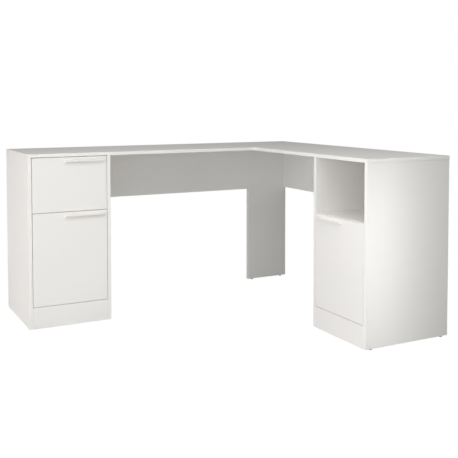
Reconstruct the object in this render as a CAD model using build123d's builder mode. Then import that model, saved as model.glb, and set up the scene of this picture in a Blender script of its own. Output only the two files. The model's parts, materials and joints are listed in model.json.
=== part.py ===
from build123d import *
import os
from dataclasses import dataclass
from math import cos, hypot, radians, sin

# A white corner desk: two tops in an L on a drawer pedestal, a niche pedestal and a corner leg.
# Millimetres. X runs along the main wing, Y towards the wall behind it, Z up from the floor.
# The origin is on the floor, in the middle of the desk's footprint.

# Overall sizes
main_length = 1505.0
return_length = 1290.0
wing_depth = 420.0
desk_height = 745.0

# Boards
board = 15.0
drawer_board = 12.0
hardboard = 3.0
edge_ease = 1.0
groove_depth = 6.0
play = 0.1

# Pedestals, aprons and corner leg
pedestal_width = 360.0
upper_height = 235.0
plinth_height = 90.0
plinth_gap = 0.3
front_gap = 2.0
back_inset = 10.0
corner_leg_width = 238.5
apron_setback = 17.0
top_overhang = 1.5

# Drawer box and its telescopic runners
drawer_box_height = 160.0
drawer_lift = 10.0
drawer_bottom_lift = 8.0
runner_length = 350.0
runner_thickness = 12.7
runner_height = 35.0
runner_lift = 45.0
runner_gauge = 1.2
runner_room = 1.8
runner_screw_inset = 40.0

# Pull handles
handle_length = 172.0
handle_height = 7.0
handle_depth = 14.0
handle_web = 2.5
handle_lip = 4.0
handle_boss = 9.0
handle_drop = 12.5
handle_edge = 14.0
handle_round = 2.0
handle_ease = 0.8
handle_grip = 8.0

# Cup hinges
door_opening = 100.0
hinge_inset = 80.0
cup_radius = 17.5
cup_wall = 0.6
cup_cover = 2.5
cup_flange = 1.0
cup_rim = 2.0
cup_wing = 28.0
cup_offset = 12.5
pin_radius = 1.0
pin_play = 0.05
eye_wall = 0.85
eye_room = 0.4
swing_room = 0.4
arm_room = 0.6
arm_width = 12.0
arm_gauge = 2.0
arm_depth = 5.0
arm_length = 50.0
lug_thickness = 1.8
plate_height = 4.0
plate_length = 32.0
plate_half_rise = 23.0

# Dowels and cam locks
dowel_radius = 4.0
dowel_edge_depth = 20.0
drawer_dowel_radius = 3.0
hole_skin = 1.0
kit_inset = 30.0
kit_pitch = 32.0
plinth_dowel_inset = 20.0
cam_radius = 7.4
cam_reach = 24.0
cam_past_middle = 5.0
cam_slot = 1.2
bolt_radius = 3.0
bolt_thread_radius = 2.4
bolt_past_cam = 3.0

# Screws and joining plates
screw_radius = 1.6
screw_head_radius = 3.4
screw_head_height = 1.1
screw_grip = 9.0
handle_screw_radius = 2.0
joint_plate_length = 90.0
joint_plate_width = 30.0
joint_plate_thickness = 2.0
joint_plate_edge = 12.0
seam_plate_inset = 100.0

# Floor glides
glide_radius = 6.0
glide_height = 5.0
glide_inset = 30.0
glide_stem_radius = 3.0
glide_stem_length = 12.0

# Planes of the desk that follow from these sizes
left_face = -main_length / 2
right_face = main_length / 2
near_face = -return_length / 2
end_face = near_face + top_overhang
wall_face = return_length / 2
main_front = wall_face - wing_depth
return_front = right_face - wing_depth
under_top = desk_height - board
shelf_top = under_top - upper_height
plinth_top = glide_height + plinth_height
leg_left = right_face - corner_leg_width
leg_back = wall_face - apron_setback
leg_front = leg_back - board

X_DIR = Vector(1, 0, 0)
Y_DIR = Vector(0, 1, 0)
UP = Vector(0, 0, 1)
FROM_BELOW = (Align.CENTER, Align.CENTER, Align.MIN)
FROM_ABOVE = (Align.CENTER, Align.CENTER, Align.MAX)


@dataclass
class Axes:
    """Axes of one unit: u along its front, v back from its front, z up from the floor."""

    corner: Vector
    along: Vector
    back: Vector

    def at(self, u, v, z):
        return self.corner + self.along * u + self.back * v + UP * z

    def plane(self, u, v, z):
        """A level plane with its x along u and its y along v."""
        return Plane(self.at(u, v, z), x_dir=self.along, z_dir=self.along.cross(self.back))


# In both pedestals u counts from the outside of the panel that carries the door's hinges.
whole = Axes(Vector(0, 0, 0), X_DIR, Y_DIR)
left = Axes(Vector(left_face, main_front, 0), X_DIR, Y_DIR)
right = Axes(Vector(return_front, end_face, 0), Y_DIR, X_DIR)

# The hinge pin stands clear of the cup's floor,
# and far enough in for the door's front corner to pass its panel.
eye_radius = pin_radius + pin_play + eye_wall
cup_floor_v = cup_cover + play + cup_wall
pivot_v = cup_floor_v + eye_room + eye_radius
pivot_in = (front_gap**2 + pivot_v**2 - swing_room**2) / (2 * (front_gap - swing_room))
pivot_u = board + pivot_in
cup_u = pivot_u + cup_offset
corner_reach = pivot_in - front_gap
corner_swing_v = pivot_v + hypot(corner_reach, board - pivot_v)

# Spans inside a pedestal
panel_z = (glide_height, under_top)
hinge_panel_u = (0.0, board)
latch_panel_u = (pedestal_width - board, pedestal_width)
inside_u = (board, pedestal_width - board)
plinth_u = (inside_u[0] + plinth_gap, inside_u[1] - plinth_gap)
front_u = (board + front_gap, pedestal_width - board - front_gap)
front_v = (0.0, board)
depth_v = (0.0, wing_depth)
back_v = (wing_depth - back_inset - hardboard, wing_depth - back_inset)
shelf_v = (corner_swing_v + swing_room, back_v[0] - play)
floor_v = (board, back_v[0] - play)
shelf_z = (shelf_top - board, shelf_top)
floor_z = (plinth_top - board, plinth_top)
door_z = (plinth_top + front_gap, shelf_top - front_gap)
drawer_front_z = (shelf_top, under_top - front_gap)
hinge_zs = (door_z[0] + hinge_inset, door_z[1] - hinge_inset)

# Spans of the aprons and the corner leg
apron_z = (shelf_top, under_top)
leg_y = (leg_front, leg_back)
main_apron_x = (left_face + pedestal_width, leg_left)
return_apron_x = (right_face - board, right_face)
return_apron_y = (end_face + pedestal_width, leg_front)

# Spans of the drawer box
box_z = (shelf_top + drawer_lift, shelf_top + drawer_lift + drawer_box_height)
box_v = (board, board + runner_length)
box_left_u = (board + runner_thickness, board + runner_thickness + drawer_board)
box_right_u = (pedestal_width - box_left_u[1], pedestal_width - box_left_u[0])
box_inside_u = (box_left_u[1], box_right_u[0])
box_back_v = (box_v[1] - drawer_board, box_v[1])
bottom_z = (box_z[0] + drawer_bottom_lift, box_z[0] + drawer_bottom_lift + hardboard)
bottom_groove_z = (bottom_z[0] - play, bottom_z[1] + play)
bottom_u = (box_inside_u[0] - groove_depth + play, box_inside_u[1] + groove_depth - play)
bottom_v = (board - groove_depth + play, box_back_v[0] + groove_depth - play)
runner_z = box_z[0] + runner_lift
runner_mid_v = board + runner_length / 2

# Depths of the blind holes
dowel_face_depth = board - groove_depth - hole_skin
drawer_dowel_face_depth = drawer_board - groove_depth
cam_depth = board / 2 + cam_past_middle

# The arm's neck passes round the door's inner corner at full opening.
corner_rise = board - pivot_v + cup_flange
swing = radians(door_opening)
neck_in = corner_reach * abs(cos(swing)) + corner_rise * sin(swing) + arm_room
neck_out = neck_in + arm_gauge
cross_near = hypot(corner_reach, corner_rise) + arm_room
cross_far = cross_near + arm_gauge
arm_foot_u = plate_height - pivot_in

# Handle places
handle_u = (front_u[1] - handle_edge - handle_length, front_u[1] - handle_edge)
handle_screw_us = (handle_u[0] + handle_boss / 2, handle_u[1] - handle_boss / 2)
drawer_handle_z = drawer_front_z[1] - handle_drop - handle_height / 2
door_handle_z = door_z[1] - handle_drop - handle_height / 2


@dataclass
class Dowel:
    face: str
    edge: str
    seat: Vector
    into: Vector
    radius: float
    face_depth: float
    group: str


@dataclass
class Cam:
    face: str
    edge: str
    seat: Vector
    into: Vector
    side: Vector

    def pocket(self):
        """The cam's place on the face that it is let in from."""
        return Plane(self.seat + self.into * cam_reach + self.side * (board / 2), z_dir=self.side)


@dataclass
class Screw:
    group: str
    pieces: tuple
    seat: Vector
    out: Vector
    length: float
    radius: float

    def plane(self):
        """The plane under the head, with its normal away from the shank."""
        return Plane(self.seat, z_dir=self.out)


@dataclass
class Glide:
    panel: str
    seat: Vector


@dataclass
class JointPlate:
    pieces: tuple
    seat: Vector
    out: Vector
    across: Vector


dowels, cams, screws, glides, joint_plates = [], [], [], [], []


def middle(span):
    return (span[0] + span[1]) / 2


def ends(span, inset=kit_inset):
    """The two places one inset from a span's ends, each with the sign that points inwards."""
    return (span[0] + inset, 1), (span[1] - inset, -1)


def dowel(face, edge, seat, into):
    """A dowel from the face of one board into the edge of another."""
    dowels.append(Dowel(face, edge, seat, into, dowel_radius, dowel_face_depth, "wood_dowels"))


def drawer_dowel(face, edge, seat, into):
    dowels.append(
        Dowel(face, edge, seat, into, drawer_dowel_radius, drawer_dowel_face_depth, "drawer_dowels")
    )


def kit(face, edge, seat, into, step, side):
    """A dowel and, one pitch along the joint, a cam bolt with its cam let in from one side."""
    dowel(face, edge, seat, into)
    cams.append(Cam(face, edge, seat + step * kit_pitch, into, side))


def screw(group, pieces, seat, out, length, radius=screw_radius):
    screws.append(Screw(group, pieces, seat, out, length, radius))


# Fastenings of the two pedestals
for unit, hinge_panel, latch_panel, shelf, floor, plinth, top, latch_cam in (
    (left, "left_outer_side", "left_inner_side", "left_divider", "left_bottom", "left_plinth",
     "main_top", -1),
    (right, "right_end_panel", "right_inner_side", "niche_shelf", "right_bottom", "right_plinth",
     "return_top", 1),
):
    for panel, span, cam_way in (
        (hinge_panel, hinge_panel_u, 1),
        (latch_panel, latch_panel_u, latch_cam),
    ):
        for v, sign in ends(depth_v):
            seat = unit.at(middle(span), v, under_top)
            kit(top, panel, seat, -UP, unit.back * sign, unit.along * cam_way)
        for v, _ in ends(depth_v, glide_inset):
            glides.append(Glide(panel, unit.at(middle(span), v, glide_height)))
    for panel, u, way in (
        (hinge_panel, inside_u[0], unit.along),
        (latch_panel, inside_u[1], -unit.along),
    ):
        for level, span_v, span_z in ((shelf, shelf_v, shelf_z), (floor, floor_v, floor_z)):
            for v, sign in ends(span_v):
                kit(panel, level, unit.at(u, v, middle(span_z)), way, unit.back * sign, -UP)
        for z, _ in ends((glide_height, plinth_top), plinth_dowel_inset):
            dowel(panel, plinth, unit.at(u, middle(front_v), z), way)

# Fastenings of the aprons, the corner leg and the seam between the tops
for x, sign in ends((leg_left, right_face)):
    kit("main_top", "corner_leg", Vector(x, middle(leg_y), under_top), -UP, X_DIR * sign, Y_DIR)
    glides.append(Glide("corner_leg", Vector(x, middle(leg_y), glide_height)))
for x, sign in ends(main_apron_x):
    kit("main_top", "main_apron", Vector(x, middle(leg_y), under_top), -UP, X_DIR * sign, Y_DIR)
for y, sign in ends((return_apron_y[0], main_front)):
    seat = Vector(middle(return_apron_x), y, under_top)
    kit("return_top", "return_apron", seat, -UP, Y_DIR * sign, X_DIR)
for z, sign in ends(apron_z):
    step = UP * sign
    seat = Vector(main_apron_x[0], middle(leg_y), z)
    kit("left_inner_side", "main_apron", seat, X_DIR, step, Y_DIR)
    dowel("corner_leg", "main_apron", Vector(leg_left, middle(leg_y), z), -X_DIR)
    seat = Vector(middle(return_apron_x), return_apron_y[0], z)
    kit("right_inner_side", "return_apron", seat, Y_DIR, step, X_DIR)
    seat = Vector(middle(return_apron_x), return_apron_y[1], z)
    kit("corner_leg", "return_apron", seat, -Y_DIR, step, X_DIR)
for x in (return_front + kit_inset, return_front + wing_depth / 2, right_face - kit_inset):
    dowel("main_top", "return_top", Vector(x, main_front, under_top + board / 2), -Y_DIR)

for x in (return_front + seam_plate_inset, right_face - seam_plate_inset):
    seat = Vector(x, main_front, under_top)
    joint_plates.append(JointPlate(("main_top", "return_top"), seat, -UP, Y_DIR))
seat = Vector(leg_left, leg_back, middle(apron_z))
joint_plates.append(JointPlate(("main_apron", "corner_leg"), seat, Y_DIR, X_DIR))
for plate in joint_plates:
    aside = plate.out.cross(plate.across)
    reach = joint_plate_length / 2 - joint_plate_edge
    for way in (-1, 1):
        for turn in (-1, 1):
            spot = plate.across * (way * reach) + aside * (turn * joint_plate_width / 4)
            head = plate.seat + plate.out * joint_plate_thickness + spot
            screw("joining_plate_screws", (*plate.pieces, "joining_plates"), head, plate.out, screw_grip)

# Fastenings of the drawer, its runners and the handles
for z, _ in ends(box_z):
    for side, span, u, way in (
        ("drawer_left_side", box_left_u, box_inside_u[0], X_DIR),
        ("drawer_right_side", box_right_u, box_inside_u[1], -X_DIR),
    ):
        drawer_dowel("drawer_front", side, left.at(middle(span), board, z), Y_DIR)
        drawer_dowel(side, "drawer_back", left.at(u, middle(box_back_v), z), way)

for name, panel, side, wall_u, way in (
    ("left", "left_outer_side", "drawer_left_side", inside_u[0], 1),
    ("right", "left_inner_side", "drawer_right_side", inside_u[1], -1),
):
    for v in (box_v[0] + runner_screw_inset, runner_mid_v, box_v[1] - runner_screw_inset):
        seat = left.at(wall_u + way * runner_gauge, v, runner_z)
        pieces = (panel, f"{name}_runner_cabinet_rail")
        screw("cabinet_rail_screws", pieces, seat, X_DIR * way, screw_grip)
        seat = left.at(wall_u + way * (runner_thickness - runner_gauge), v, runner_z)
        pieces = (side, f"{name}_runner_drawer_rail")
        screw("drawer_rail_screws", pieces, seat, X_DIR * -way, screw_grip)

for unit, front, handle, z in (
    (left, "drawer_front", "drawer_handle", drawer_handle_z),
    (left, "left_door", "left_door_handle", door_handle_z),
    (right, "right_door", "right_door_handle", door_handle_z),
):
    for u in handle_screw_us:
        length = board + handle_grip
        seat = unit.at(u, board, z)
        screw(f"{handle}_screws", (front, handle), seat, unit.back, length, handle_screw_radius)

# Fastenings of the hinges
for unit, door, panel in ((left, "left", "left_outer_side"), (right, "right", "right_end_panel")):
    for hinge_z in hinge_zs:
        for way in (-1, 1):
            z = hinge_z + way * (plate_half_rise - screw_head_radius - hole_skin)
            seat = unit.at(board + plate_height, pivot_v + cross_near + plate_length / 2, z)
            pieces = (panel, f"{door}_hinge_plates")
            screw(f"{door}_hinge_plate_screws", pieces, seat, unit.along, plate_height + screw_grip)
            z = hinge_z + way * (cup_wing - screw_head_radius - hole_skin)
            seat = unit.at(cup_u, board + cup_flange, z)
            pieces = (f"{door}_door", f"{door}_hinge_cups")
            screw(f"{door}_hinge_cup_screws", pieces, seat, unit.back, screw_grip)


def slab(axes, u, v, z, ease=0.0, mode=Mode.ADD):
    """A block between two corners in one unit's axes, with its edges eased where that is asked for."""
    low = axes.at(u[0], v[0], z[0])
    size = axes.at(u[1], v[1], z[1]) - low
    with Locations(low + size * 0.5):
        Box(abs(size.X), abs(size.Y), abs(size.Z), mode=mode)
    if ease:
        chamfer(edges(), length=ease)


def bore(seat, out, radius, depth):
    """A blind hole from a point on a face whose outward normal is given."""
    with Locations(Plane(seat, z_dir=out)):
        Hole(radius, depth)


def fastening_holes(name):
    """Every hole that the fastenings of this piece need: its plane, radius and depth."""
    for item in dowels:
        if name == item.face:
            yield Plane(item.seat, z_dir=item.into), item.radius, item.face_depth
        if name == item.edge:
            yield Plane(item.seat, z_dir=-item.into), item.radius, dowel_edge_depth
    for item in cams:
        if name == item.face:
            yield Plane(item.seat, z_dir=item.into), bolt_thread_radius, dowel_face_depth
        if name == item.edge:
            yield Plane(item.seat, z_dir=-item.into), bolt_radius, cam_reach
            yield item.pocket(), cam_radius, cam_depth
    for item in screws:
        if name in item.pieces:
            yield item.plane(), item.radius, item.length
    for item in glides:
        if name == item.panel:
            yield Plane(item.seat, z_dir=-UP), glide_stem_radius, glide_stem_length


def machine(name):
    """Drills a piece for its fastenings, all holes of one size together."""
    sizes = {}
    for plane, radius, depth in fastening_holes(name):
        sizes.setdefault((radius, depth), []).append(plane)
    for (radius, depth), planes in sizes.items():
        with Locations(*planes):
            Hole(radius + play, depth + play)


def keep(piece, name):
    """Names a finished piece and writes its file."""
    piece.part.label = name
    export_step(piece.part, f"parts/{name}.step")


def plain_board(name, axes, u, v, z):
    """An edge-banded board with no cuts other than its fastening holes."""
    with BuildPart() as piece:
        slab(axes, u, v, z, edge_ease)
        machine(name)
    keep(piece, name)


def side_panel(name, unit, u, inner_u, way):
    """A pedestal's side, with the groove that holds the back near its rear edge."""
    with BuildPart() as piece:
        slab(unit, u, depth_v, panel_z, edge_ease)
        groove_u = sorted((inner_u, inner_u - way * groove_depth))
        groove_v = (back_v[0] - play, back_v[1] + play)
        slab(unit, groove_u, groove_v, panel_z, mode=Mode.SUBTRACT)
        machine(name)
    keep(piece, name)


def back_panel(name, unit):
    """The hardboard back, held in the grooves of both sides."""
    with BuildPart() as piece:
        u = (inside_u[0] - groove_depth + play, inside_u[1] + groove_depth - play)
        slab(unit, u, back_v, (floor_z[0], under_top - play))
    keep(piece, name)


def drawer_side(name, u, groove_u):
    """A side of the drawer box, with the groove for the bottom in its inner face."""
    with BuildPart() as piece:
        slab(left, u, box_v, box_z, edge_ease)
        slab(left, groove_u, box_v, bottom_groove_z, mode=Mode.SUBTRACT)
        machine(name)
    keep(piece, name)


def runner_rail(name, wall_u, way, web, lip, height):
    """A channel of the runner: web and lip are its two edges, counted out from the cabinet's wall."""
    gauge = runner_gauge if lip > web else -runner_gauge
    with BuildPart() as piece:
        origin = left.at(wall_u, runner_mid_v, runner_z)
        with BuildSketch(Plane(origin, x_dir=X_DIR * way, z_dir=Y_DIR * -way)):
            with Locations(((web + lip) / 2, 0)):
                Rectangle(abs(lip - web), height)
            with Locations(((web + gauge + lip) / 2, 0)):
                Rectangle(abs(lip - web - gauge), height - 2 * runner_gauge, mode=Mode.SUBTRACT)
        extrude(amount=runner_length / 2, both=True)
        machine(name)
    keep(piece, name)


def pull_handle(name, unit, z):
    """A profile open below: a top web, a front lip to pull by and a screw boss at each end."""
    rise = (z - handle_height / 2, z + handle_height / 2)
    hollow_u = (handle_u[0] + handle_boss, handle_u[1] - handle_boss)
    hollow_v = (handle_lip - handle_depth, 0.0)
    hollow_z = (rise[0], rise[1] - handle_web)
    with BuildPart() as piece:
        slab(unit, handle_u, (-handle_depth, 0.0), rise)
        front = piece.faces().sort_by(Axis((0, 0, 0), unit.back))[0]
        fillet(front.edges().filter_by(Axis.Z), radius=handle_round)
        front = piece.faces().sort_by(Axis((0, 0, 0), unit.back))[0]
        fillet(front.edges().filter_by(Axis.Z, reverse=True), radius=handle_ease)
        slab(unit, hollow_u, hollow_v, hollow_z, mode=Mode.SUBTRACT)
        machine(name)
    keep(piece, name)


def hinge_arms(name, unit):
    """The fixed halves: an eye on the pin, a neck out of the cup and a foot on the mounting plate."""
    with BuildPart() as piece:
        for z in hinge_zs:
            with BuildSketch(unit.plane(pivot_u, pivot_v, z)):
                Circle(eye_radius)
                for x, y in (
                    ((0, neck_out), (-arm_gauge / 2, arm_gauge / 2)),
                    ((neck_in, neck_out), (-arm_gauge / 2, cross_far)),
                    ((arm_foot_u, neck_out), (cross_near, cross_far)),
                    ((arm_foot_u, arm_foot_u + arm_depth), (cross_near, cross_near + arm_length)),
                ):
                    with Locations((middle(x), middle(y))):
                        Rectangle(x[1] - x[0], y[1] - y[0])
                Circle(pin_radius + pin_play, mode=Mode.SUBTRACT)
            extrude(amount=arm_width / 2, both=True)
    keep(piece, name)


def hinge_plates(name, unit):
    with BuildPart() as piece:
        for z in hinge_zs:
            v_start = pivot_v + cross_near
            rise = (z - plate_half_rise, z + plate_half_rise)
            slab(unit, (board, board + plate_height), (v_start, v_start + plate_length), rise)
        machine(name)
    keep(piece, name)


def hinge_cups(name, unit):
    """The door halves: a cup let into the door, its winged flange and two lugs for the pin."""
    lug_z = arm_width / 2 + arm_room
    with BuildPart() as piece:
        for z in hinge_zs:
            cup = Plane(unit.at(cup_u, cup_cover + play, z), x_dir=unit.along, z_dir=unit.back)
            with BuildSketch(cup):
                Circle(cup_radius)
            extrude(amount=board - cup_cover - play)
            with BuildSketch(cup.offset(board - cup_cover - play)):
                Circle(cup_radius + cup_rim)
                Rectangle(arm_width, 2 * cup_wing)
            extrude(amount=cup_flange)
            with BuildSketch(cup.offset(cup_wall)):
                Circle(cup_radius - cup_wall)
            extrude(amount=board, mode=Mode.SUBTRACT)
            for way in (-1, 1):
                lug_u = (pivot_u - eye_radius, pivot_u + eye_radius)
                lug_rise = sorted((z + way * lug_z, z + way * (lug_z + lug_thickness)))
                slab(unit, lug_u, (cup_floor_v, pivot_v + eye_radius), lug_rise)
            with BuildSketch(unit.plane(pivot_u, pivot_v, z)):
                Circle(pin_radius)
            extrude(amount=lug_z + lug_thickness, both=True, mode=Mode.SUBTRACT)
        machine(name)
    keep(piece, name)


def hinge_pins(name, unit):
    with BuildPart() as piece:
        for z in hinge_zs:
            with BuildSketch(unit.plane(pivot_u, pivot_v, z)):
                Circle(pin_radius)
            extrude(amount=arm_width / 2 + arm_room + lug_thickness, both=True)
    keep(piece, name)


def door(name, unit):
    """An inset door with the pockets for its hinge cups."""
    with BuildPart() as piece:
        slab(unit, front_u, front_v, door_z, edge_ease)
        for z in hinge_zs:
            bore(unit.at(cup_u, board, z), unit.back, cup_radius + play, board - cup_cover)
        machine(name)
    keep(piece, name)


def screw_group(name):
    """Every screw of one group: a flat head with a cross recess and a plain shank."""
    group = [item for item in screws if item.group == name]
    radius, length = group[0].radius, group[0].length
    head = radius + screw_head_radius - screw_radius
    with BuildPart() as piece:
        with Locations(*[item.plane() for item in group]):
            Cylinder(radius, length, align=FROM_ABOVE)
            Cylinder(head, screw_head_height, align=FROM_BELOW)
        with Locations(*[item.plane().offset(screw_head_height) for item in group]):
            for turn in (0, 90):
                recess = (head, screw_head_height / 2, screw_head_height)
                Box(*recess, rotation=(0, 0, turn), mode=Mode.SUBTRACT)
    keep(piece, name)


def dowel_group(name):
    group = [item for item in dowels if item.group == name]
    face_depth = group[0].face_depth
    with BuildPart() as piece:
        with Locations(*[Plane(item.seat, z_dir=item.into).offset(-face_depth) for item in group]):
            Cylinder(group[0].radius, face_depth + dowel_edge_depth, align=FROM_BELOW)
    keep(piece, name)


os.makedirs("parts", exist_ok=True)

# Tops, aprons and corner leg
top_z = (under_top, desk_height)
plain_board("main_top", whole, (left_face, right_face), (main_front, wall_face), top_z)
plain_board("return_top", whole, (return_front, right_face), (near_face, main_front), top_z)
plain_board("main_apron", whole, main_apron_x, leg_y, apron_z)
plain_board("return_apron", whole, return_apron_x, return_apron_y, apron_z)
plain_board("corner_leg", whole, (leg_left, right_face), leg_y, panel_z)

# Drawer pedestal
side_panel("left_outer_side", left, hinge_panel_u, inside_u[0], 1)
side_panel("left_inner_side", left, latch_panel_u, inside_u[1], -1)
plain_board("left_divider", left, inside_u, shelf_v, shelf_z)
plain_board("left_bottom", left, inside_u, floor_v, floor_z)
plain_board("left_plinth", left, plinth_u, front_v, (glide_height, plinth_top))
back_panel("left_back", left)

# Niche pedestal
side_panel("right_end_panel", right, hinge_panel_u, inside_u[0], 1)
side_panel("right_inner_side", right, latch_panel_u, inside_u[1], -1)
plain_board("niche_shelf", right, inside_u, shelf_v, shelf_z)
plain_board("right_bottom", right, inside_u, floor_v, floor_z)
plain_board("right_plinth", right, plinth_u, front_v, (glide_height, plinth_top))
back_panel("right_back", right)

# Drawer
with BuildPart() as drawer_front:
    slab(left, front_u, front_v, drawer_front_z, edge_ease)
    groove_u = (bottom_u[0] - play, bottom_u[1] + play)
    slab(left, groove_u, (board - groove_depth, board), bottom_groove_z, mode=Mode.SUBTRACT)
    machine("drawer_front")
keep(drawer_front, "drawer_front")

drawer_side("drawer_left_side", box_left_u, (box_left_u[1] - groove_depth, box_left_u[1]))
drawer_side("drawer_right_side", box_right_u, (box_right_u[0], box_right_u[0] + groove_depth))

with BuildPart() as drawer_back:
    slab(left, box_inside_u, box_back_v, box_z, edge_ease)
    groove_v = (box_back_v[0], box_back_v[0] + groove_depth)
    slab(left, box_inside_u, groove_v, bottom_groove_z, mode=Mode.SUBTRACT)
    machine("drawer_back")
keep(drawer_back, "drawer_back")

with BuildPart() as drawer_bottom:
    slab(left, bottom_u, bottom_v, bottom_z)
keep(drawer_bottom, "drawer_bottom")

# Runners: each rail stands one room off the one around it, in depth and in height.
rail_step = runner_gauge + runner_room
cabinet_lip = runner_thickness - rail_step
slide_height = runner_height - 2 * rail_step
inner_height = slide_height - 2 * rail_step
for name, wall_u, way in (("left", inside_u[0], 1), ("right", inside_u[1], -1)):
    runner_rail(f"{name}_runner_cabinet_rail", wall_u, way, 0, cabinet_lip, runner_height)
    runner_rail(f"{name}_runner_slide", wall_u, way, rail_step, cabinet_lip, slide_height)
    drawer_rail = f"{name}_runner_drawer_rail"
    runner_rail(drawer_rail, wall_u, way, runner_thickness, 2 * rail_step, inner_height)

# Doors and handles
door("left_door", left)
door("right_door", right)
pull_handle("drawer_handle", left, drawer_handle_z)
pull_handle("left_door_handle", left, door_handle_z)
pull_handle("right_door_handle", right, door_handle_z)

# Hinges
for name, unit in (("left", left), ("right", right)):
    hinge_arms(f"{name}_hinge_arms", unit)
    hinge_plates(f"{name}_hinge_plates", unit)
    hinge_cups(f"{name}_hinge_cups", unit)
    hinge_pins(f"{name}_hinge_pins", unit)

# Joining plates
with BuildPart() as joining_plates:
    for item in joint_plates:
        with BuildSketch(Plane(item.seat, x_dir=item.across, z_dir=item.out)):
            RectangleRounded(joint_plate_length, joint_plate_width, joint_plate_width / 4)
        extrude(amount=joint_plate_thickness)
    machine("joining_plates")
keep(joining_plates, "joining_plates")

# Cam locks and their bolts
with BuildPart() as cam_locks:
    with Locations(*[item.pocket() for item in cams]):
        Cylinder(cam_radius, cam_depth, align=FROM_ABOVE)
        for turn in (0, 90):
            Box(cam_radius, cam_slot, 2 * cam_slot, rotation=(0, 0, turn), mode=Mode.SUBTRACT)
    with Locations(*[Plane(item.seat, z_dir=-item.into) for item in cams]):
        Hole(bolt_radius + play, cam_reach + 2 * cam_radius)
keep(cam_locks, "cam_locks")

with BuildPart() as cam_bolts:
    with Locations(*[Plane(item.seat, z_dir=item.into) for item in cams]):
        Cylinder(bolt_radius, cam_reach + bolt_past_cam, align=FROM_BELOW)
        Cylinder(bolt_thread_radius, dowel_face_depth, align=FROM_ABOVE)
keep(cam_bolts, "cam_bolts")

# Dowels and screws
for group in ("wood_dowels", "drawer_dowels"):
    dowel_group(group)
for group in dict.fromkeys(item.group for item in screws):
    screw_group(group)

# Floor glides: a foot under the panel's edge with a stem pressed into it
with BuildPart() as floor_glides:
    with Locations(*[item.seat for item in glides]):
        Cylinder(glide_radius, glide_height, align=FROM_ABOVE)
        Cylinder(glide_stem_radius, glide_stem_length, align=FROM_BELOW)
keep(floor_glides, "floor_glides")
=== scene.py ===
import json
import math
import bpy
import bmesh
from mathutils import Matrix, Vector


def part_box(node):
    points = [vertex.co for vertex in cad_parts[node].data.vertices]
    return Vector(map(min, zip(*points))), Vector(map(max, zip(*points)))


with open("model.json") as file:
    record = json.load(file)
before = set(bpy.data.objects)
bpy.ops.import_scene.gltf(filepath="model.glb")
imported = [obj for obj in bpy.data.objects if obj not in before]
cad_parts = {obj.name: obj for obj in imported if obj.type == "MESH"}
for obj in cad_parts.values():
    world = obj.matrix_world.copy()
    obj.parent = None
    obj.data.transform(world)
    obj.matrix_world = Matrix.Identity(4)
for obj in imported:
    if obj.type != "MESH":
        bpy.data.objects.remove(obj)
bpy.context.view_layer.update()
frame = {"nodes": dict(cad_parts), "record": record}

# A white corner desk in a pale studio. Metres, in the desk's own axes:
# X along the main wing, Y towards the wall behind it, Z up from the floor.

# The viewer stands to the left of the return wing and looks slightly down.
VIEW_PLACE = (-1.5034, -2.9939, 0.9665)
VIEW_TURN = math.radians(27.812)
VIEW_DIP = math.radians(2.694)
VIEW_LENS = 60.563
VIEW_SENSOR = 36.0
VIEW_SHIFT = -0.2

# Floor: what it throws back on the desk, how it looks under the desk,
# and where that look fades to white.
FLOOR_SIZE = 40.0
FLOOR_BOUNCE = (0.6, 0.6, 0.6)
FLOOR_SHADE = (0.25, 0.25, 0.25)
FLOOR_GLOW = 0.9
FLOOR_NEAR = 0.8
FLOOR_FAR = 1.8
WHITE = (1.0, 1.0, 1.0)
WHITE_GLOW = 1.0

# White melamine boards. Grain scales count cells along a metre, and depths are in metres.
LAMINATE_IOR = 1.48
LAMINATE_DARK = (0.875, 0.858, 0.832)
LAMINATE_LIGHT = (0.9, 0.884, 0.86)
LAMINATE_DRIFT = (0.86, 0.848, 0.825)
EDGE_BAND = (0.905, 0.89, 0.866)
EDGE_SLOPE = 0.6
PEARL_SCALE = 900.0
PEARL_DEPTH = 0.00006
PAPER_SCALE = 60.0
DRIFT_SCALE = 3.0
DRIFT_SHARE = 0.3
LAMINATE_ROUGHNESS = 0.48
PAPER_ROUGHNESS = 0.1
BAND_SMOOTHNESS = 0.12

# Painted hardboard, with its fibres drawn out along the height.
HARDBOARD_IOR = 1.45
HARDBOARD_DARK = (0.84, 0.822, 0.79)
HARDBOARD_LIGHT = (0.875, 0.858, 0.83)
HARDBOARD_FLECK = (0.8, 0.775, 0.735)
FIBRE_STRETCH = (1.0, 1.0, 0.35)
FIBRE_SCALE = 420.0
FIBRE_DEPTH = 0.00008
FLECK_LEVEL = 0.6
FLECK_SHARE = 0.35
PAINT_SCALE = 12.0
HARDBOARD_ROUGHNESS = 0.55
FIBRE_ROUGHNESS = 0.15

# Moulded plastic of the handles and the glides: light and dark colour, roughness and grain scale.
PLASTIC_IOR = 1.5
HANDLE_PLASTIC = ((0.9, 0.885, 0.86), (0.86, 0.845, 0.82), 0.38, 1600.0)
GLIDE_PLASTIC = ((0.56, 0.555, 0.55), (0.48, 0.475, 0.47), 0.5, 1200.0)
SPARK_DEPTH = 0.00004
SPARK_SHARE = 0.4
SPARK_ROUGHNESS = 0.12
FLOW_SCALE = 14.0
FLOW_SHARE = 0.6

# Plated steel of the fittings and the screws: colour, roughness and
# how close the rolling lines are along each axis.
FITTING_STEEL = ((0.72, 0.73, 0.75), 0.33, (900.0, 40.0, 900.0))
SCREW_STEEL = ((0.68, 0.69, 0.7), 0.36, (1400.0, 1400.0, 1400.0))
STEEL_DULLING = 0.82
ROLLING_DEPTH = 0.00003
ROLLING_SHARE = 0.5
ROLLING_ROUGHNESS = 0.14
SPANGLE_SCALE = 160.0
SPANGLE_SHARE = 0.5
SPANGLE_ROUGHNESS = 0.08

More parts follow.
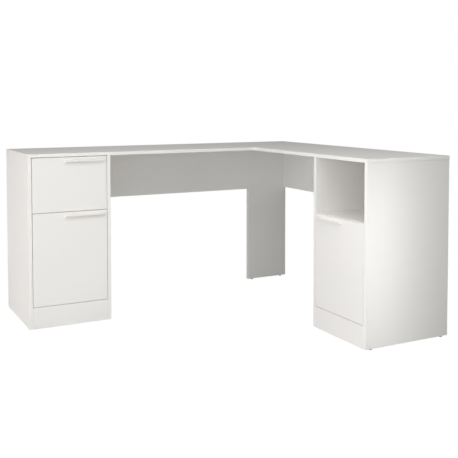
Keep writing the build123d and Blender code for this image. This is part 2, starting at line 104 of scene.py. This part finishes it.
# Die-cast zinc of the cams.
ZINC_DARK = (0.47, 0.475, 0.49)
ZINC_LIGHT = (0.6, 0.605, 0.62)
SKIN_SCALE = 1100.0
SKIN_DEPTH = 0.00005
CLOUD_SCALE = 220.0
ZINC_ROUGHNESS = 0.42
SKIN_ROUGHNESS = 0.2

# Beech of the dowels, with its grain drawn out along the height.
BEECH_DARK = (0.5, 0.33, 0.19)
BEECH_LIGHT = (0.68, 0.5, 0.32)
BEECH_FLECK = (0.36, 0.22, 0.12)
GRAIN_STRETCH = (1.0, 1.0, 0.2)
GRAIN_SCALE = 380.0
GRAIN_DEPTH = 0.0001
RAY_STRETCH = (1.0, 1.0, 0.3)
RAY_SCALE = 1500.0
RAY_LEVEL = 0.64
RAY_SHARE = 0.5
BEECH_ROUGHNESS = 0.55
GRAIN_ROUGHNESS = 0.2

# Studio surround: its tint, and how bright it is towards each side.
SURROUND_TINT = (1.0, 0.98, 0.965)
SURROUND = {"left": 0.454, "behind": 0.455, "front": 0.039, "above": 0.387}

# Softboxes: place, aim, width, height and power in watts. The matt ones show in no reflection.
# A narrow one throws its light within an angle.
SOFTBOX_TINT = (0.98, 0.99, 0.99)
OTHER_TINTS = {"left_softbox": (1.01, 0.99, 0.99), "knee_softbox": (0.72, 1.0, 1.32)}
WIDE_SPREAD = math.pi
NARROW_SPREADS = {"knee_softbox": math.radians(50.0)}
SOFTBOXES = {
    "key_softbox": ((-1.4, -2.6, 1.6), (-0.2, 0.0, 0.4), 1.6, 1.2, 6.63),
    "front_softbox": ((-0.55, -2.4, 0.9), (-0.3, 0.3, 0.5), 1.2, 0.8, 0.87),
    "high_softbox": ((-0.2, -1.5, 2.4), (0.0, 0.0, 0.7), 1.5, 1.5, 19.0),
    "high_left_softbox": ((-1.2, -0.9, 1.9), (0.33, -0.45, 0.4), 0.8, 0.8, 4.0),
    "left_softbox": ((-2.2, -0.4, 0.8), (-0.75, 0.4, 0.4), 1.0, 1.0, 13.9),
    "low_left_softbox": ((-1.6, 0.8, 0.33), (-0.75, 0.55, 0.35), 0.6, 0.5, 1.54),
    "across_softbox": ((-0.9, -0.5, 0.55), (0.33, -0.45, 0.3), 0.5, 0.5, 0.606),
    "niche_softbox": ((-0.5, -1.4, 0.75), (0.45, -0.3, 0.6), 0.5, 0.5, 3.4),
    "corner_softbox": ((0.3, -1.0, 0.42), (0.36, -0.645, 0.4), 0.3, 0.5, 0.45),
    "end_softbox": ((0.4, -0.88, 0.36), (0.4, -0.645, 0.36), 0.08, 0.75, 0.271),
    "plinth_softbox": ((-0.57, -0.3, 0.06), (-0.57, 0.22, 0.05), 0.3, 0.08, 0.178),
    "knee_softbox": ((-0.34, 0.3, 0.6), (0.74, 0.4, 0.61), 0.2, 0.2, 0.026),
    "rear_softbox": ((2.3, 1.5, 0.4), (0.75, 0.0, 0.4), 1.0, 0.5, 16.0),
}
MATT_SOFTBOXES = (
    "rear_softbox",
    "knee_softbox",
    "end_softbox",
    "corner_softbox",
    "plinth_softbox",
    "low_left_softbox",
    "across_softbox",
)


class Socket:
    """One output of a node tree. Arithmetic on it adds Math nodes."""

    def __init__(self, tree, output):
        self.tree = tree
        self.output = output

    def maths(self, operation, *values):
        inputs = dict(enumerate(values))
        return self.tree.node("ShaderNodeMath", {"operation": operation}, inputs)

    def __add__(self, other):
        return self.maths("ADD", self, other)

    def __radd__(self, other):
        return self.maths("ADD", other, self)

    def __sub__(self, other):
        return self.maths("SUBTRACT", self, other)

    def __rsub__(self, other):
        return self.maths("SUBTRACT", other, self)

    def __mul__(self, other):
        return self.maths("MULTIPLY", self, other)

    def __rmul__(self, other):
        return self.maths("MULTIPLY", other, self)

    def __truediv__(self, other):
        return self.maths("DIVIDE", self, other)

    def __pow__(self, other):
        return self.maths("POWER", self, other)

    def __abs__(self):
        return self.maths("ABSOLUTE", self)

    def __lt__(self, other):
        return self.maths("LESS_THAN", self, other)

    def __gt__(self, other):
        return self.maths("GREATER_THAN", self, other)

    def positive(self):
        return self.maths("MAXIMUM", self, 0.0)


class Tree:
    """A node tree, with one method that adds any node."""

    def __init__(self, nodes_owner):
        nodes_owner.use_nodes = True
        self.tree = nodes_owner.node_tree
        self.tree.nodes.clear()

    def node(self, kind, settings=None, inputs=None, output=0):
        made = self.tree.nodes.new(kind)
        for name, value in (settings or {}).items():
            setattr(made, name, value)
        for name, value in (inputs or {}).items():
            if isinstance(value, Socket):
                self.tree.links.new(value.output, made.inputs[name])
            else:
                made.inputs[name].default_value = value
        return Socket(self, made.outputs[output] if len(made.outputs) else None)

    def parts(self, vector):
        """The three numbers of a vector."""
        first = self.node("ShaderNodeSeparateXYZ", inputs={0: vector})
        return [Socket(self, out) for out in first.output.node.outputs]

    def mix(self, factor, a, b):
        """A colour between two colours."""
        settings = {"data_type": "RGBA", "clamp_factor": True}
        return self.node("ShaderNodeMix", settings, {0: factor, 6: a, 7: b}, 2)

    def noise(self, where, scale, detail=2.0, roughness=0.5):
        inputs = {"Vector": where, "Scale": scale, "Detail": detail, "Roughness": roughness}
        return self.node("ShaderNodeTexNoise", inputs=inputs)

    def stretched(self, where, factors):
        """A place scaled by its own factor along each axis."""
        settings = {"operation": "MULTIPLY"}
        return self.node("ShaderNodeVectorMath", settings, {0: where, 1: factors})


class Finish(Tree):
    """A surface finish: one Principled shader and what feeds it."""

    def __init__(self, name, **sockets):
        self.material = bpy.data.materials.new(name)
        super().__init__(self.material)
        self.shader = self.node("ShaderNodeBsdfPrincipled").output.node
        self.node("ShaderNodeOutputMaterial", inputs={"Surface": Socket(self, self.shader.outputs[0])})
        self.set(**sockets)
        self.where = self.coordinates("Object")

    def coordinates(self, kind):
        return self.node("ShaderNodeTexCoord", output=kind)

    def set(self, **sockets):
        for name, value in sockets.items():
            plug = self.shader.inputs[name.replace("_", " ")]
            if isinstance(value, Socket):
                self.tree.links.new(value.output, plug)
            else:
                plug.default_value = value

    def bump(self, height, distance, strength=1.0):
        inputs = {"Height": height, "Distance": distance, "Strength": strength}
        self.set(Normal=self.node("ShaderNodeBump", inputs=inputs))


def rgb(colour):
    """A colour as a socket takes it, with full alpha."""
    return (*colour, 1.0)


def laminate(name, thin):
    """White melamine on a board that is thin along one axis, with a smoother band round its edges."""
    finish = Finish(name, IOR=LAMINATE_IOR)
    pearl = finish.noise(finish.where, PEARL_SCALE)
    paper = finish.noise(finish.where, PAPER_SCALE, detail=4.0, roughness=0.6)
    drift = finish.noise(finish.where, DRIFT_SCALE)
    across = finish.parts(finish.coordinates("Normal"))[thin]
    band = abs(across) < EDGE_SLOPE
    face = finish.mix(paper, rgb(LAMINATE_DARK), rgb(LAMINATE_LIGHT))
    face = finish.mix(drift * DRIFT_SHARE, face, rgb(LAMINATE_DRIFT))
    finish.set(
        Base_Color=finish.mix(band, face, rgb(EDGE_BAND)),
        Roughness=LAMINATE_ROUGHNESS + PAPER_ROUGHNESS * paper - BAND_SMOOTHNESS * band,
    )
    finish.bump(pearl * (1 - band), PEARL_DEPTH, strength=0.5)
    return finish.material


def hardboard():
    """Thin hardboard with a painted face, where the fibres show as a faint fleck."""
    finish = Finish("white_hardboard", IOR=HARDBOARD_IOR)
    drawn_out = finish.stretched(finish.where, FIBRE_STRETCH)
    fibre = finish.noise(drawn_out, FIBRE_SCALE, detail=5.0, roughness=0.65)
    cloud = finish.noise(finish.where, PAINT_SCALE, detail=3.0)
    fleck = (fibre > FLECK_LEVEL) * FLECK_SHARE
    paint = finish.mix(cloud, rgb(HARDBOARD_DARK), rgb(HARDBOARD_LIGHT))
    finish.set(
        Base_Color=finish.mix(fleck, paint, rgb(HARDBOARD_FLECK)),
        Roughness=HARDBOARD_ROUGHNESS + FIBRE_ROUGHNESS * fibre,
    )
    finish.bump(fibre, FIBRE_DEPTH, strength=0.5)
    return finish.material


def moulded(name, light, dark, roughness, grain):
    """Moulded plastic with a fine spark-eroded grain."""
    finish = Finish(name, IOR=PLASTIC_IOR)
    spark = finish.noise(finish.where, grain, detail=3.0, roughness=0.6)
    flow = finish.noise(finish.where, FLOW_SCALE)
    finish.set(
        Base_Color=finish.mix(FLOW_SHARE * flow + SPARK_SHARE * spark, rgb(dark), rgb(light)),
        Roughness=roughness + SPARK_ROUGHNESS * (spark - 0.5),
    )
    finish.bump(spark, SPARK_DEPTH, strength=0.4)
    return finish.material


def plated(name, tone, roughness, lines):
    """Zinc-plated steel: rolling lines along the sheet and a soft crystal spangle."""
    finish = Finish(name, Metallic=1.0)
    rolled = finish.noise(finish.stretched(finish.where, lines), 1.0, detail=3.0, roughness=0.6)
    cells = {"Vector": finish.where, "Scale": SPANGLE_SCALE}
    spangle = finish.node("ShaderNodeTexVoronoi", {"feature": "F1"}, cells, "Color")
    spangle = finish.parts(spangle)[0]
    dull = [STEEL_DULLING * value for value in tone]
    uneven = ROLLING_ROUGHNESS * (rolled - 0.5) + SPANGLE_ROUGHNESS * (spangle - 0.5)
    finish.set(
        Base_Color=finish.mix(ROLLING_SHARE * rolled + SPANGLE_SHARE * spangle, rgb(dull), rgb(tone)),
        Roughness=roughness + uneven,
    )
    finish.bump(rolled, ROLLING_DEPTH, strength=0.3)
    return finish.material


def die_cast():
    """Die-cast zinc: a matt skin with small pits."""
    finish = Finish("cam_zinc", Metallic=1.0)
    skin = finish.noise(finish.where, SKIN_SCALE, detail=4.0, roughness=0.65)
    cloud = finish.noise(finish.where, CLOUD_SCALE)
    finish.set(
        Base_Color=finish.mix(cloud, rgb(ZINC_DARK), rgb(ZINC_LIGHT)),
        Roughness=ZINC_ROUGHNESS + SKIN_ROUGHNESS * (skin - 0.5),
    )
    finish.bump(skin, SKIN_DEPTH, strength=0.5)
    return finish.material


def beech():
    """Turned beech, with short darker flecks."""
    finish = Finish("beech_dowel")
    drawn_out = finish.stretched(finish.where, GRAIN_STRETCH)
    grain = finish.noise(drawn_out, GRAIN_SCALE, detail=4.0, roughness=0.6)
    fleck = finish.noise(finish.stretched(finish.where, RAY_STRETCH), RAY_SCALE) > RAY_LEVEL
    wood = finish.mix(grain, rgb(BEECH_DARK), rgb(BEECH_LIGHT))
    finish.set(
        Base_Color=finish.mix(RAY_SHARE * fleck, wood, rgb(BEECH_FLECK)),
        Roughness=BEECH_ROUGHNESS + GRAIN_ROUGHNESS * grain,
    )
    finish.bump(grain, GRAIN_DEPTH, strength=0.5)
    return finish.material


def thin_axis(node):
    """The axis across a board's thickness."""
    low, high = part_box(node)
    size = high - low
    return min(range(3), key=lambda axis: size[axis])


def dress_nodes():
    """Gives every piece of the desk the finish of its material slot."""
    boards = [laminate(f"white_laminate_{axis}", i) for i, axis in enumerate("xyz")]
    finishes = {
        "white_hardboard": hardboard(),
        "white_plastic": moulded("white_plastic", *HANDLE_PLASTIC),
        "zinc_steel": plated("zinc_steel", *FITTING_STEEL),
        "screw_steel": plated("screw_steel", *SCREW_STEEL),
        "cam_zinc": die_cast(),
        "beech_dowel": beech(),
        "glide_plastic": moulded("glide_plastic", *GLIDE_PLASTIC),
    }
    for part in frame["record"]["subparts"]:
        name, slot = part["node"], part["material_slot"]
        finish = boards[thin_axis(name)] if slot == "white_laminate" else finishes[slot]
        piece = frame["nodes"][name]
        piece.data.materials.clear()
        piece.data.materials.append(finish)


def lay_floor():
    """A wide pale floor, white to the viewer, with only a faint shadow under the desk."""
    mesh = bpy.data.meshes.new("studio_floor")
    grid = bmesh.new()
    bmesh.ops.create_grid(grid, x_segments=1, y_segments=1, size=FLOOR_SIZE / 2)
    grid.to_mesh(mesh)
    grid.free()
    floor = bpy.data.objects.new("studio_floor", mesh)
    bpy.context.scene.collection.objects.link(floor)
    material = bpy.data.materials.new("studio_floor")
    tree = Tree(material)
    paper = tree.node("ShaderNodeBsdfDiffuse", inputs={"Color": rgb(FLOOR_BOUNCE)})
    shade = tree.node("ShaderNodeBsdfDiffuse", inputs={"Color": rgb(FLOOR_SHADE)})
    glow = tree.node("ShaderNodeEmission", inputs={"Color": rgb(WHITE), "Strength": FLOOR_GLOW})
    near = tree.node("ShaderNodeAddShader", inputs={0: shade, 1: glow})
    far = tree.node("ShaderNodeEmission", inputs={"Color": rgb(WHITE), "Strength": WHITE_GLOW})
    x, y, _ = tree.parts(tree.node("ShaderNodeTexCoord", output="Object"))
    away = (x * x + y * y) ** 0.5
    faded = (away - FLOOR_NEAR) / (FLOOR_FAR - FLOOR_NEAR)
    seen = tree.node("ShaderNodeMixShader", inputs={0: faded, 1: near, 2: far})
    camera = tree.node("ShaderNodeLightPath", output="Is Camera Ray")
    both = tree.node("ShaderNodeMixShader", inputs={0: camera, 1: paper, 2: seen})
    tree.node("ShaderNodeOutputMaterial", inputs={"Surface": both})
    mesh.materials.append(material)


def light_studio():
    """A soft surround that the viewer sees as white, and softboxes that the viewer doesn't see."""
    world = bpy.data.worlds.new("studio")
    bpy.context.scene.world = world
    tree = Tree(world)
    x, y, z = tree.parts(tree.node("ShaderNodeTexCoord", output="Generated"))
    ways = {"left": -1 * x, "behind": y, "front": -1 * y, "above": z}
    glow = sum(ways[name].positive() ** 2 * strength for name, strength in SURROUND.items())
    lit = tree.node("ShaderNodeBackground", inputs={"Color": rgb(SURROUND_TINT), "Strength": glow})
    seen = tree.node("ShaderNodeBackground", inputs={"Color": rgb(WHITE), "Strength": WHITE_GLOW})
    camera = tree.node("ShaderNodeLightPath", output="Is Camera Ray")
    both = tree.node("ShaderNodeMixShader", inputs={0: camera, 1: lit, 2: seen})
    tree.node("ShaderNodeOutputWorld", inputs={"Surface": both})
    for name, (place, aim, width, height, power) in SOFTBOXES.items():
        lamp = bpy.data.lights.new(name, "AREA")
        lamp.shape = "RECTANGLE"
        lamp.size = width
        lamp.size_y = height
        lamp.energy = power
        lamp.spread = NARROW_SPREADS.get(name, WIDE_SPREAD)
        lamp.color = OTHER_TINTS.get(name, SOFTBOX_TINT)
        box = bpy.data.objects.new(name, lamp)
        bpy.context.scene.collection.objects.link(box)
        box.location = place
        box.rotation_euler = (Vector(aim) - Vector(place)).to_track_quat("-Z", "Y").to_euler()
        box.visible_camera = False
        box.visible_glossy = name not in MATT_SOFTBOXES


def place_camera():
    lens = bpy.data.cameras.new("viewer")
    lens.sensor_width = VIEW_SENSOR
    lens.lens = VIEW_LENS
    lens.shift_y = VIEW_SHIFT
    viewer = bpy.data.objects.new("viewer", lens)
    bpy.context.scene.collection.objects.link(viewer)
    viewer.location = VIEW_PLACE
    viewer.rotation_euler = (math.pi / 2 - VIEW_DIP, 0.0, -VIEW_TURN)
    bpy.context.scene.camera = viewer


dress_nodes()
lay_floor()
light_studio()
place_camera()
bpy.context.scene.view_settings.view_transform = "Standard"
